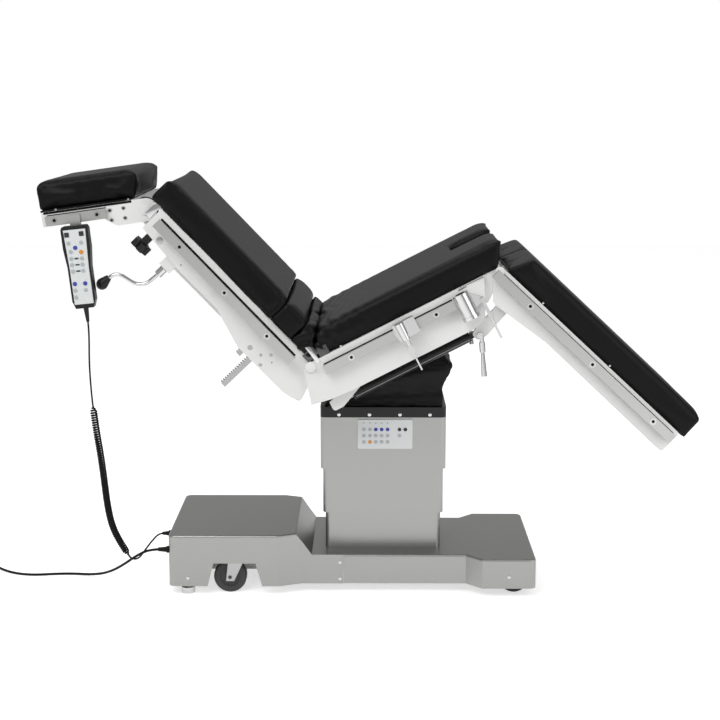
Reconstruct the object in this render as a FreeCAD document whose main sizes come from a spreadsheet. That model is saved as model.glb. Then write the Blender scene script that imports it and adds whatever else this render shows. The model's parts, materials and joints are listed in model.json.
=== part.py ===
"""Operating table: a telescopic column on a wheeled base carries a tilting seat frame.

The back, head and leg sections hinge on the seat frame. All lengths are millimetres.
X runs from the head end to the foot end, Y from the near side to the far side, Z up.
The origin lies on the floor, in the middle of the table's length and width.
"""
import FreeCAD, Part
import math
import os
import Sketcher

os.makedirs("parts", exist_ok=True)
doc = FreeCAD.newDocument("OperatingTable")
sheet = doc.addObject("Spreadsheet::Sheet", "Sizes")
NODES = []
MADE = {"rows": 0, "names": 0}


class Size:
    """A number together with the text that binds a property to the sheet."""

    def __init__(self, number, text):
        self.number = float(number)
        self.text = text

    def _join(self, sign, other, number):
        return Size(number, f"({self.text} {sign} {other.text})")

    def __add__(self, other):
        other = as_size(other)
        return self._join("+", other, self.number + other.number)

    def __sub__(self, other):
        other = as_size(other)
        return self._join("-", other, self.number - other.number)

    def __mul__(self, other):
        other = as_size(other)
        return self._join("*", other, self.number * other.number)

    def __truediv__(self, other):
        other = as_size(other)
        return self._join("/", other, self.number / other.number)

    def __radd__(self, other):
        return as_size(other) + self

    def __rsub__(self, other):
        return as_size(other) - self

    def __rmul__(self, other):
        return as_size(other) * self

    def __neg__(self):
        return Size(-self.number, f"(-1 * {self.text})")

    def __float__(self):
        return self.number


def as_size(value):
    return value if isinstance(value, Size) else Size(value, repr(float(value)))


def cell(name, number):
    """Write one driving dimension into the sheet and return it."""
    MADE["rows"] += 1
    sheet.set(f"A{MADE['rows']}", name)
    sheet.set(f"B{MADE['rows']}", str(number))
    sheet.setAlias(f"B{MADE['rows']}", name)
    return Size(number, f"Sizes.{name}")


def bind(thing, path, amount):
    """Set a property to an amount, through the sheet where the amount comes from it."""
    amount = as_size(amount)
    if "Sizes." in amount.text:
        thing.setExpression(path, amount.text)
    elif path.startswith("Placement.Base."):
        place = thing.Placement
        setattr(place.Base, path[-1], amount.number)
        thing.Placement = place
    else:
        setattr(thing, path, amount.number)


def fresh(kind, stem):
    MADE["names"] += 1
    return doc.addObject(kind, f"{stem}_{MADE['names']}")


# The sections and their hinges

plate = cell("side_plate_thickness", 12)
half_width = cell("frame_half_width", 265)
layer_gap = cell("gap_between_plate_layers", 0.6)
fit = cell("hinge_radial_clearance", 0.05)
seat_gap = cell("assembly_clearance", 0.3)
frame_top = cell("frame_top_above_hinge_line", 10)
board = cell("board_thickness", 4)
seat_length = cell("seat_length_hinge_to_hinge", 546)
back_length = cell("back_length_hinge_to_hinge", 584.3)
neck_drop = cell("neck_hinge_below_back_line", 28.3)
leg_length = cell("leg_section_length", 637)
hinge_rod = cell("hinge_rod_radius", 7.5)
neck_rod = cell("neck_rod_radius", 10)
pad_thick = cell("pad_thickness", 61)
pad_inset = cell("pad_inset_from_frame_side", 2)
rail_height = cell("rail_height", 25)
rail_thick = cell("rail_thickness", 10)
rail_gap = cell("rail_standoff", 14)
spacer_radius = cell("rail_spacer_radius", 9)

SEAT_ANGLE = 27.1
BACK_ANGLE = 46.26
HEAD_ANGLE = 8.0
LEG_ANGLE = 42.9
HIP = (-150.8, 641.1)

inner_out = half_width - plate - layer_gap
inner_in = inner_out - plate
arm_out = inner_in - layer_gap
rail_in = half_width + rail_gap
rail_out = rail_in + rail_thick
pad_bottom = frame_top + seat_gap
pad_top = pad_bottom + pad_thick


def turned(angle, x, z):
    """World place of a local point of a section that is tipped by angle."""
    a = math.radians(angle)
    return x * math.cos(a) + z * math.sin(a), -x * math.sin(a) + z * math.cos(a)


def section_frame(angle, x, z):
    turn = FreeCAD.Rotation(FreeCAD.Vector(0, 1, 0), angle)
    return FreeCAD.Placement(FreeCAD.Vector(x, 0, z), turn)


def point_on(frame, x, z):
    place = frame.multVec(FreeCAD.Vector(float(x), 0, float(z)))
    return place.x, place.z


seat_frame = section_frame(-SEAT_ANGLE, *HIP)
back_frame = section_frame(BACK_ANGLE, *HIP)
KNEE = point_on(seat_frame, seat_length, 0)
NECK = point_on(back_frame, -back_length, -neck_drop)
leg_frame = section_frame(LEG_ANGLE, *KNEE)
head_frame = section_frame(-HEAD_ANGLE, *NECK)
world = FreeCAD.Placement()


# Building blocks

def box(x0, x1, y0, y1, z0, z1):
    made = fresh("Part::Box", "Box")
    bind(made, "Length", as_size(x1) - x0)
    bind(made, "Width", as_size(y1) - y0)
    bind(made, "Height", as_size(z1) - z0)
    for letter, amount in zip("xyz", (x0, y0, z0)):
        bind(made, "Placement.Base." + letter, amount)
    return made


TURNS = {
    "X": FreeCAD.Rotation(FreeCAD.Vector(0, 1, 0), 90),
    "Y": FreeCAD.Rotation(FreeCAD.Vector(1, 0, 0), -90),
    "Z": FreeCAD.Rotation(),
}


def rod(axis, x, y, z, radius, length, top_radius=None):
    """A cylinder, or a cone where it has a top radius, that starts at a point and runs along an axis."""
    made = fresh("Part::Cone" if top_radius is not None else "Part::Cylinder", "Rod")
    made.Placement = FreeCAD.Placement(FreeCAD.Vector(), TURNS[axis])
    if top_radius is None:
        bind(made, "Radius", radius)
    else:
        bind(made, "Radius1", radius)
        bind(made, "Radius2", top_radius)
    bind(made, "Height", length)
    for letter, amount in zip("xyz", (x, y, z)):
        bind(made, "Placement.Base." + letter, amount)
    return made


def origin_plane(body, role):
    return next(f for f in body.Origin.OriginFeatures if f.Role == role)


def outline(sketch, points):
    """A closed outline whose corners are held at their distances from the origin."""
    count = len(points)
    for i in range(count):
        (x0, z0), (x1, z1) = points[i], points[(i + 1) % count]
        start = FreeCAD.Vector(float(x0), float(z0), 0)
        end = FreeCAD.Vector(float(x1), float(z1), 0)
        sketch.addGeometry(Part.LineSegment(start, end), False)
    for i in range(count):
        sketch.addConstraint(Sketcher.Constraint("Coincident", i, 2, (i + 1) % count, 1))
    for i, corner in enumerate(points):
        for kind, amount in zip(("DistanceX", "DistanceY"), corner):
            amount = as_size(amount)
            row = sketch.addConstraint(Sketcher.Constraint(kind, -1, 1, i, 1, amount.number))
            if "Sizes." in amount.text:
                sketch.setExpression(f"Constraints[{row}]", amount.text)


def pad_body(points, role, offset, length, rounds=()):
    """A flat outline on an origin plane, offset along that plane's normal and padded along it."""
    body = fresh("PartDesign::Body", "Body")
    sketch = body.newObject("Sketcher::SketchObject", body.Name + "_sketch")
    sketch.AttachmentSupport = [(origin_plane(body, role), "")]
    sketch.MapMode = "FlatFace"
    offset = as_size(offset)
    place = FreeCAD.Placement(FreeCAD.Vector(0, 0, offset.number), FreeCAD.Rotation())
    sketch.AttachmentOffset = place
    if "Sizes." in offset.text:
        sketch.setExpression("AttachmentOffset.Base.z", offset.text)
    outline(sketch, points)
    pad = body.newObject("PartDesign::Pad", body.Name + "_pad")
    pad.Profile = sketch
    bind(pad, "Length", length)
    body.Tip = pad
    if rounds:
        doc.recompute()
        across = {"XZ_Plane": ("x", "z"), "XY_Plane": ("x", "y"), "YZ_Plane": ("y", "z")}[role]
        for corners, radius in rounds:
            spots = [(float(points[c][0]), float(points[c][1])) for c in corners]
            names = []
            for i, edge in enumerate(body.Tip.Shape.Edges, 1):
                ends = [(getattr(v.Point, across[0]), getattr(v.Point, across[1])) for v in edge.Vertexes]
                if len(ends) == 2 and all(math.dist(ends[0], e) < 0.01 for e in ends):
                    if any(math.dist(ends[0], s) < 0.01 for s in spots):
                        names.append(f"Edge{i}")
            before = body.Tip
            fillet = body.newObject("PartDesign::Fillet", body.Name + "_round")
            fillet.Base = (before, names)
            bind(fillet, "Radius", radius)
            body.Tip = fillet
            doc.recompute()
    return body


def side_plate(points, y0, y1, rounds=()):
    """A plate with its outline in X and Z, from y0 up to y1."""
    return pad_body(points, "XZ_Plane", -as_size(y1), as_size(y1) - y0, rounds)


def flat_plate(points, z0, z1, rounds=()):
    """A plate with its outline in X and Y, from z0 up to z1."""
    return pad_body(points, "XY_Plane", z0, as_size(z1) - z0, rounds)


def mirrored(made):
    """The far side's copy of a near piece."""
    copy = fresh("Part::Mirroring", "Mirror")
    copy.Source = made
    copy.Normal = FreeCAD.Vector(0, 1, 0)
    return copy


def both_sides(pieces):
    return list(pieces) + [mirrored(piece) for piece in pieces]


def fuse(pieces):
    if len(pieces) == 1:
        return pieces[0]
    made = fresh("Part::MultiFuse", "Fuse")
    made.Shapes = list(pieces)
    made.Refine = True
    return made


def cut(base, tools):
    made = fresh("Part::Cut", "Cut")
    made.Base = base
    made.Tool = fuse(tools)
    return made


def common(first, second):
    made = fresh("Part::MultiCommon", "Common")
    made.Shapes = [first, second]
    return made


def rounded(base, radius, chosen):
    """A copy of a solid with the edges that a test chooses made round."""
    doc.recompute()
    made = fresh("Part::Fillet", "Rounded")
    made.Base = base
    r = float(radius)
    made.Edges = [(i, r, r) for i, edge in enumerate(base.Shape.Edges, 1) if chosen(edge)]
    return made


def node(name, made, frame=world):
    """Give a finished piece its name and its place on the table."""
    if made.TypeId in ("Part::Box", "Part::Cylinder", "Part::Cone", "Part::Torus") or made.Label in [n for n, _ in NODES]:
        group = fresh("Part::Compound", "Group")
        group.Links = [made]
        made = group
    made.Placement = frame
    made.Label = name
    NODES.append((name, made))
    return made


# Base

base_bottom = cell("base_skirt_height_above_floor", 25)
box_top = cell("base_head_box_top", 167)
deck_top = cell("base_deck_top", 106.5)
base_head_x = cell("base_head_end_from_origin", 541)
base_foot_x = cell("base_foot_end_from_origin", 451.5)
box_half = cell("base_head_box_half_width", 205)
waist_half = cell("base_waist_half_width", 180)
foot_half = cell("base_foot_half_width", 220)
cover_wall = cell("cover_wall", 2.5)
corner_round = cell("base_corner_round", 18)
edge_round = cell("base_top_edge_round", 6)
chassis_bottom = cell("chassis_plate_underside", 96)
chassis_thick = cell("chassis_plate_thickness", 6)
seam_x = cell("base_cover_seam_from_origin", 68)
taper_start = cell("head_box_taper_start_from_origin", 244)
taper_end = cell("head_box_taper_end_from_origin", 180)
slope_top = cell("head_box_slope_top_from_origin", 197.5)
slope_foot = cell("head_box_slope_foot_from_origin", 154)
flare_start = cell("foot_flare_start_from_origin", 264.4)
flare_end = cell("foot_flare_end_from_origin", 305.6)
column_x = cell("column_centre_from_origin", 39.3)
wheel_head = cell("head_wheel_radius", 44.5)
wheel_foot = cell("foot_wheel_radius", 39)
arch_top = cell("wheel_arch_top", 89.3)
arch_x = cell("wheel_arch_centre_from_origin", 361.5)
mast_x = cell("outer_mast_length", 180)
mast_y = cell("outer_mast_width", 140)
mast_wall = cell("mast_wall", 8)
mast_fit = cell("mast_sliding_gap", 0.3)
chassis_top = chassis_bottom + chassis_thick


def head_cover_solid(inset):
    side = side_plate([
        (-base_head_x + inset, base_bottom - 4 * inset),
        (-base_head_x + inset, box_top - inset),
        (-slope_top - inset / 2, box_top - inset),
        (-slope_foot - inset / 2, deck_top - inset),
        (-seam_x + inset, deck_top - inset),
        (-seam_x + inset, base_bottom - 4 * inset),
    ], -box_half - 5, box_half + 5)
    half = box_half - inset
    narrow = waist_half - inset
    plan = flat_plate([
        (-base_head_x + inset, -half), (-taper_start, -half), (-taper_end, -narrow),
        (-seam_x + inset, -narrow), (-seam_x + inset, narrow), (-taper_end, narrow),
        (-taper_start, half), (-base_head_x + inset, half),
    ], base_bottom - 4 * inset, box_top + 5)
    solid = common(side, plan)
    end = float(-base_head_x + inset)

    def upright_corner(edge):
        return len(edge.Vertexes) == 2 and all(abs(v.X - end) < 0.1 for v in edge.Vertexes) and \
            abs(edge.Vertexes[0].Y - edge.Vertexes[1].Y) < 0.1
    return rounded(solid, corner_round - inset, upright_corner)


def make_head_cover():
    outer = head_cover_solid(as_size(0))
    top = float(box_top)

    def top_rim(edge):
        return all(abs(v.Z - top) < 0.1 for v in edge.Vertexes)
    outer = rounded(outer, edge_round, top_rim)
    arch = side_plate([
        (-arch_x - 77, base_bottom - 10), (-arch_x - 58, arch_top),
        (-arch_x + 56, arch_top), (-arch_x + 76, base_bottom - 10),
    ], -box_half - 10, box_half + 10)
    node("base_head_cover", cut(outer, [head_cover_solid(cover_wall), arch]))


def deck_solid(inset):
    start = -seam_x + seat_gap - inset
    end = base_foot_x - inset
    narrow = waist_half - 2 - inset
    wide = foot_half - inset
    solid = flat_plate([
        (start, -narrow), (flare_start, -narrow), (flare_end, -wide), (end, -wide),
        (end, wide), (flare_end, wide), (flare_start, narrow), (start, narrow),
    ], base_bottom - 4 * inset, deck_top - inset, [((3, 4), corner_round - inset)])
    return solid


def make_deck_cover():
    outer = deck_solid(as_size(0))
    top = float(deck_top)
    start = float(-seam_x + seat_gap)

    def top_rim(edge):
        return all(abs(v.Z - top) < 0.1 for v in edge.Vertexes) and \
            not all(abs(v.X - start) < 0.1 for v in edge.Vertexes)
    outer = rounded(outer, edge_round, top_rim)
    hole = box(column_x - mast_x / 2 - 2, column_x + mast_x / 2 + 2, -mast_y / 2 - 2, mast_y / 2 + 2,
               deck_top - 20, deck_top + 20)
    node("base_deck_cover", cut(outer, [deck_solid(cover_wall), hole]))


FOOT_X, FOOT_Y = 491.5, 176.0
foot_radius = cell("brake_foot_radius", 19)
foot_stem = cell("brake_foot_stem_radius", 9)
caster_head_x = cell("head_caster_pivot_from_origin", 356.5)
caster_head_y = cell("head_caster_pivot_off_centre", 165)
caster_foot_x = cell("foot_caster_pivot_from_origin", 381.5)
caster_foot_y = cell("foot_caster_pivot_off_centre", 155)
stem_radius = cell("caster_stem_radius", 8)


def make_chassis():
    wall = cover_wall + seat_gap
    plates = [
        box(-base_head_x + wall + corner_round, -taper_start, -box_half + wall, box_half - wall,
            chassis_bottom, chassis_top),
        box(-taper_start, flare_start, -waist_half + 2 + wall, waist_half - 2 - wall,
            chassis_bottom, chassis_top),
        box(flare_end, base_foot_x - wall, -foot_half + wall + corner_round, foot_half - wall - corner_round,
            chassis_bottom, chassis_top),
        box(flare_start, flare_end, -waist_half + 2 + wall, waist_half - 2 - wall,
            chassis_bottom, chassis_top),
    ]
    for side in (-1, 1):
        plates.append(box(-base_head_x + 40, base_foot_x - 30, side * 75 - 15, side * 75 + 15, 36, chassis_bottom))
        plates.append(rod("Z", -FOOT_X, side * FOOT_Y, chassis_bottom - 34, foot_stem + 7, 34))
    holes = []
    for side in (-1, 1):
        holes.append(rod("Z", -caster_head_x, side * caster_head_y, 60, stem_radius + fit, 80))
        holes.append(rod("Z", caster_foot_x, side * caster_foot_y, 60, stem_radius + fit, 80))
        holes.append(rod("Z", -FOOT_X, side * FOOT_Y, 40, foot_stem + fit, 80))
    node("base_chassis", cut(fuse(plates), holes))


def make_power_unit():
    tank = box(-475, -300, -95, 60, chassis_top, chassis_top + 50)
    motor = rod("X", -300, -10, chassis_top + 28, 26, 60)
    battery = box(-475, -300, 66, 150, chassis_top, chassis_top + 44)
    foot = box(-300, -240, -34, 14, chassis_top, chassis_top + 10)
    node("power_unit", fuse([tank, motor, battery, foot]))


def make_brake_feet():
    pieces = []
    for side in (-1, 1):
        pieces.append(rod("Z", -FOOT_X, side * FOOT_Y, 0.3, foot_radius, 16))
        pieces.append(rod("Z", -FOOT_X, side * FOOT_Y, 16.3, foot_stem, chassis_bottom + 14 - 16.3))
    node("brake_feet", fuse(pieces))


def make_caster(name, x, y, radius, trail, tread, twin):
    """A fork on a stem that turns in the chassis, and a wheel on an axle in the fork."""
    axle = 5.0
    wheel_x = x + trail
    crown = chassis_bottom - seat_gap
    leg_thick = 5.0
    half = tread / 2
    if twin:
        block = box(wheel_x - 11, wheel_x + 11, y - 4, y + 4, radius - 11, crown)
        crown_plate = rod("Z", x, y, radius * 2 + 4, 22, crown - radius * 2 - 4)
        stem = rod("Z", x, y, radius * 2 + 4, stem_radius, chassis_top - radius * 2 - 4)
        fork = cut(fuse([crown_plate, block, stem]),
                   [rod("Y", wheel_x, y - 20, radius, axle + fit, 40)])
        rim = [rod("Y", wheel_x, y + side * 4.5 - (half - 4.5 if side < 0 else 0), radius, radius, half - 4.5)
               for side in (-1, 1)]
        wheel = fuse(rim + [rod("Y", wheel_x, y - half + 1, radius, axle, tread - 2)])
    else:
        legs = []
        for side in (-1, 1):
            inner = y + side * (half + 1)
            low, high = sorted((float(inner), float(inner + side * leg_thick)))
            legs.append(side_plate([
                (wheel_x - 11, radius - 11), (wheel_x + 11, radius - 11),
                (x + 20, crown), (x - 24, crown),
            ], low, high))
        crown_plate = rod("Z", x, y, radius * 2 + 2, 24, crown - radius * 2 - 2)
        stem = rod("Z", x, y, radius * 2 + 2, stem_radius, chassis_top - radius * 2 - 2)
        fork = cut(fuse(legs + [crown_plate, stem]),
                   [rod("Y", wheel_x, y - 40, radius, axle + fit, 80)])
        tyre = rounded(rod("Y", wheel_x, y - half, radius, radius, tread), 5, lambda e: e.Length > 50)
        grooves = [cut(rod("Y", wheel_x, y - half - 3, radius, radius * 0.62, 6),
                       [rod("Y", wheel_x, y - half - 3, radius, radius * 0.3, 6)])]
        axle_bolt = rod("Y", wheel_x, y - half - 7, radius, axle, tread + 14)
        wheel = fuse([cut(tyre, grooves), axle_bolt])
    node("caster_fork_" + name, fork)
    node("caster_wheel_" + name, wheel)


def make_casters():
    for side, name in ((-1, "near"), (1, "far")):
        make_caster("head_" + name, -caster_head_x, side * caster_head_y, wheel_head, -20, 32.0, False)
        make_caster("foot_" + name, caster_foot_x, side * caster_foot_y, wheel_foot, 14, 36.0, True)


GLANDS = {"mains": (-185.0, 122.6), "handset": (-135.0, 152.5)}
mains_radius = cell("mains_cord_radius", 3.5)
lead_radius = cell("handset_cord_radius", 2.5)


def make_glands():
    pieces = []
    for name, radius, length in (("mains", mains_radius, 30), ("handset", lead_radius, 24)):
        y, z = GLANDS[name]
        nut = rod("X", -base_head_x - 6, y, z, radius + 6, 6)
        sleeve = rod("X", -base_head_x - length, y, z, radius + 1.5, length - 6, radius + 4)
        pieces.append(fuse([nut, sleeve]))
    node("cable_glands", fuse(pieces))


# Column

cover_gap = cell("column_cover_step", 6.5)
cover_x = cell("column_cover_half_length", 170.6)
cover_y = cell("column_cover_half_width", 125)
cover_sheet = cell("column_cover_sheet", 2)
cover_round = cell("column_cover_corner_round", 14)
upper_bottom = cell("upper_cover_bottom", 332.7)
upper_top = cell("column_top", 475.7)
middle_bottom = cell("middle_cover_bottom", 207.6)
middle_top = cell("middle_stage_top", 370)
lower_top = cell("lower_stage_top", 268)
mast_overlap = cell("mast_overlap_at_rest", 66)
head_frame_height = cell("gaiter_clamp_height", 22)


def rect_tube(half_x, half_y, wall, z0, z1, radius=None):
    """An upright rectangular tube around the column's centre line."""
    def block(x, y, low, high, r):
        corners = [(column_x - x, -y), (column_x + x, -y), (column_x + x, y), (column_x - x, y)]
        return flat_plate(corners, low, high, [((0, 1, 2, 3), r)] if r else ())
    outer = block(as_size(half_x), as_size(half_y), z0, z1, radius)
    inner_round = as_size(radius) - wall if radius and float(radius) > float(wall) else None
    inner = block(as_size(half_x) - wall, as_size(half_y) - wall, as_size(z0) - 1, as_size(z1) + 1, inner_round)
    return cut(outer, [inner])


def make_column():
    steps = [(0, upper_bottom, upper_top), (1, middle_bottom, middle_top), (2, deck_top, lower_top)]
    tubes = [rect_tube(cover_x - cover_gap * n, cover_y - cover_gap * n, cover_sheet, low, high, cover_round)
             for n, low, high in steps]
    node("column_upper_cover", tubes[0])
    node("column_lower_cover", tubes[2])
    masts = []
    step = mast_wall + mast_fit
    for n, low, high in ((0, chassis_top, lower_top), (1, lower_top - mast_overlap, middle_top),
                         (2, middle_top - mast_overlap, upper_top)):
        masts.append(rect_tube(mast_x / 2 - step * n, mast_y / 2 - step * n, mast_wall, low, high))
    node("mast_outer", masts[0])
    web_x = cover_x - cover_gap - cover_sheet
    web_y = cover_y - cover_gap - cover_sheet
    slab = cut(
        flat_plate([(column_x - web_x, -web_y), (column_x + web_x, -web_y),
                    (column_x + web_x, web_y), (column_x - web_x, web_y)], middle_top - 6, middle_top,
                   [((0, 1, 2, 3), cover_round - cover_sheet)]),
        [box(column_x - mast_x / 2 + step + 1, column_x + mast_x / 2 - step - 1,
             -mast_y / 2 + step + 1, mast_y / 2 - step - 1, middle_top - 10, middle_top + 10)])
    node("column_middle_stage", fuse([tubes[1], slab, masts[1]]))
    make_column_head(masts[2])


TILT_AT = (38.8, 589.2)
ear_y = cell("tilt_ear_distance", 60)
ear_thick = cell("tilt_ear_thickness", 15)
tilt_pin = cell("tilt_pin_radius", 12)
roll_pin = cell("roll_shaft_radius", 14)


def make_column_head(mast):
    """The plate on the inner mast, the black frame that clamps the gaiter, and the two tilt ears."""
    top_plate = flat_plate([
        (column_x - cover_x, -cover_y), (column_x + cover_x, -cover_y),
        (column_x + cover_x, cover_y), (column_x - cover_x, cover_y),
    ], upper_top, upper_top + 6, [((0, 1, 2, 3), cover_round)])
    rim = rect_tube(cover_x, cover_y, 25, upper_top + 6, upper_top + 6 + head_frame_height, cover_round)
    ears = []
    x, z = TILT_AT
    ear = side_plate([(x - 45, upper_top + 6), (x + 45, upper_top + 6), (x + 24, z + 10), (x - 24, z + 10)],
                     -ear_y - ear_thick, -ear_y)
    crown = rod("Y", x, -ear_y - ear_thick, z, 26, ear_thick)
    ears = both_sides([fuse([ear, crown])])
    bores = [rod("Y", x, -120, z, tilt_pin + fit, 240)]
    node("mast_inner", cut(fuse([mast, top_plate, rim] + ears), bores))


def make_yoke():
    """The cross that tips on the column ears and carries the seat on its roll shaft."""
    x, z = TILT_AT
    local_x, local_z = yoke_local()
    block = box(local_x - 34, local_x + 34, -ear_y + seat_gap, ear_y - seat_gap, local_z - 26, local_z + 26)
    pin = rod("Y", local_x, -ear_y - ear_thick - 4, local_z, tilt_pin, 2 * (ear_y + ear_thick + 4))
    shaft = rod("X", local_x - 82, 0, local_z, roll_pin, 164)
    node("tilt_yoke", fuse([block, pin, shaft]), seat_frame)


def yoke_local():
    spot = seat_frame.inverse().multVec(FreeCAD.Vector(TILT_AT[0], 0, TILT_AT[1]))
    return spot.x, spot.z


def make_control_panel():
    face = -cover_y
    plate_body = side_plate([(-29.7, 389.8), (118.4, 389.8), (118.4, 470.5), (-29.7, 470.5)], face - 5, face,
                            [((0, 1, 2, 3), 4)])
    node("control_panel", plate_body)


def make_gaiter():
    """A soft bellows sleeve around the tilt joint, narrower at each fold."""
    def ring(inset, half_x, centre_x, half_y, z, tip):
        a = math.radians(tip)
        hx, hy = half_x - inset, half_y - inset
        points = []
        for sx, sy in ((-1, -1), (1, -1), (1, 1), (-1, 1), (-1, -1)):
            points.append(FreeCAD.Vector(centre_x + sx * hx * math.cos(a), sy * hy, z + sx * hx * math.sin(a)))
        return Part.makePolygon(points)
    top_x, top_z = point_on(seat_frame, yoke_local()[0], -44.3)
    top_ring = (104.0, top_x, 90.0, top_z, SEAT_ANGLE)
    levels = [(164.0, 39.3, 116.0, float(upper_top) + 6.5 + float(head_frame_height), 0.0),
              (156.0, 46.0, 106.0, 540.0, 5.0), (168.0, 66.0, 118.0, 574.0, 14.0),
              (146.0, 56.0, 102.0, 606.0, 24.0), (150.0, 56.0, 104.0, 624.0, SEAT_ANGLE), top_ring]

    def loft(inset, stretch):
        rows = list(levels)
        low, high = rows[0], rows[-1]
        rows[0] = low[:3] + (low[3] - stretch, low[4])
        rows[-1] = high[:3] + (high[3] + stretch, high[4])
        return Part.makeLoft([ring(inset, *row) for row in rows], True, True)
    made = fresh("Part::Feature", "Gaiter")
    made.Shape = loft(0.0, 0.0).cut(loft(5.0, 0.4))
    node("gaiter", made)


# Seat

SADDLE = 62.0


def make_seat_frame():
    outer = [(-5, frame_top), (-19, 1), (-45, -91), (9, -100), (61, -104), (423, -104), (457, -96),
             (478, -54), (seat_length - 40, frame_top)]
    near = [side_plate(outer, -half_width, -half_width + plate, [((1,), 8), ((3, 5, 6, 7), 12)])]
    ear = side_plate([(426, -40), (454, frame_top), (seat_length - 4, 9), (seat_length + 4, -9),
                      (484, -60)], -inner_out, -inner_in)
    near.append(rod("Y", seat_length, -inner_out, 0, 9.8, plate))
    pad_link = box(426, 482, -half_width + 1, -inner_in - 1, -38, -8)
    near += [ear, pad_link]
    a, b = STRUT_FOOT
    bracket = side_plate([(a - 14, b - 12), (a + 14, b - 12), (104, -102), (104, -88), (66, -88), (a - 14, b + 14)],
                         -arm_out, -arm_out + 12, [((0, 1), 8)])
    foot = box(66, 104, -half_width + plate - 1, -arm_out + 1, -101, -89)
    pin = rod("Y", a, -arm_out, b, 6, arm_out - STRUT_Y + 14)
    near += [bracket, foot, pin]
    x, z = yoke_local()
    pieces = both_sides(near)
    wide = half_width - plate
    pieces.append(rod("Y", 0, -half_width - 3, 0, hinge_rod, 2 * half_width + 6))
    pieces.append(rod("Y", seat_length, -half_width - 1, 0, hinge_rod, 2 * half_width + 2))
    for side in (-1, 1):
        middle = x + side * (SADDLE + 6)
        saddle = side_plate([(middle - 6, z - 24), (middle + 6, z - 24), (middle + 6, -30), (middle - 6, -30)],
                            -34, 34)
        pieces.append(cut(saddle, [rod("X", x - 100, 0, z, roll_pin + fit, 200)]))
    pieces.append(box(x - SADDLE - 40, x - SADDLE, -wide, wide, -44, -14))
    pieces.append(box(x + SADDLE, x + SADDLE + 40, -wide, wide, -44, -14))
    pieces.append(box(388, 418, -wide, wide, -44, -14))
    for side in (-1, 1):
        pieces.append(box(x - SADDLE - 40, 418, side * 150 - 15, side * 150 + 15, -44, frame_top - board))
    pieces.append(box(16, seat_length - 44, -wide, wide, frame_top - board, frame_top))
    node("seat_frame", fuse(pieces), seat_frame)


STRUT_FOOT = (11.2, -125.0)
STRUT_END = 428.6
STRUT_Y = 210.0


def rail(x0, x1, z0, spacers, y_from, y_rail=None):
    """One accessory rail on round spacers."""
    y_rail = rail_in if y_rail is None else y_rail
    bar = box(x0, x1, -y_rail - rail_thick, -y_rail, z0, z0 + rail_height)
    posts = [rod("Y", x, -y_rail, z0 + rail_height / 2, spacer_radius, y_rail - y_from) for x in spacers]
    return fuse([bar] + posts)


def make_rails():
    seat_rail_z = cell("seat_rail_underside", -34)
    leg_rail_z = cell("leg_rail_underside", -23)
    node("seat_rails", fuse(both_sides([rail(31, 406, seat_rail_z, (108, 352), half_width)])), seat_frame)
    node("back_rails", fuse(both_sides([rail(-540, -46, seat_rail_z, (-455, -293, -138), inner_out)])),
         back_frame)
    node("head_rails", fuse(both_sides([rail(-256, -98, -6, (-233, -122), HEAD_ARM_OUT, HEAD_ARM_OUT + 8)])),
         head_frame)
    leg_rail = (-8, leg_length - 11, leg_rail_z, (115, 337, leg_length - 80), half_width)
    near = rail(*leg_rail)
    node("leg_rail_near", near, leg_frame)
    node("leg_rail_far", mirrored(rail(*leg_rail)), leg_frame)


mitre = cell("hip_mitre_run", 0.83)
knee_nose = cell("knee_pad_overhang", 38)
notch_depth = cell("seat_notch_depth", 83)
notch_half = cell("seat_notch_half_width", 55)


def make_seat_pad():
    side = half_width - pad_inset
    body = side_plate([
        (pad_bottom * mitre, pad_bottom), (pad_top * mitre, pad_top),
        (seat_length + knee_nose, pad_top), (seat_length - 2, pad_bottom),
    ], -side, side)
    notch = box(seat_length - notch_depth, seat_length + knee_nose + 20, -notch_half, notch_half,
                pad_bottom - 5, pad_top + 5)
    node("seat_pad", cut(body, [notch]), seat_frame)


kidney_low = cell("kidney_strip_start_from_hip", 87)
kidney_high = cell("kidney_strip_end_from_hip", 162)
strip_gap = cell("kidney_strip_gap", 0.5)
neck_overhang = cell("back_pad_past_neck", 9.8)


def make_back_pads():
    side = half_width - pad_inset
    end = back_length + neck_overhang
    low = side_plate([
        (-pad_bottom * mitre, pad_bottom), (-pad_top * mitre, pad_top),
        (-kidney_low + strip_gap, pad_top), (-kidney_low + strip_gap, pad_bottom),
    ], -side, side)
    high = box(-end, -kidney_high - strip_gap, -side, side, pad_bottom, pad_top)
    node("back_pad", fuse([low, high]), back_frame)
    node("kidney_pad", box(-kidney_high, -kidney_low, -side, side, pad_bottom, pad_top), back_frame)


RACK_Y = 225.0
pinion_teeth = 12
module = cell("gear_module", 2.25)
gear_play = cell("gear_centre_play", 0.3)
rack_face = cell("rack_pitch_line_from_hip", 130)
PINION_Z = -80.0


def pinion_centre():
    return -rack_face - module * (pinion_teeth / 2) - gear_play


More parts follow.
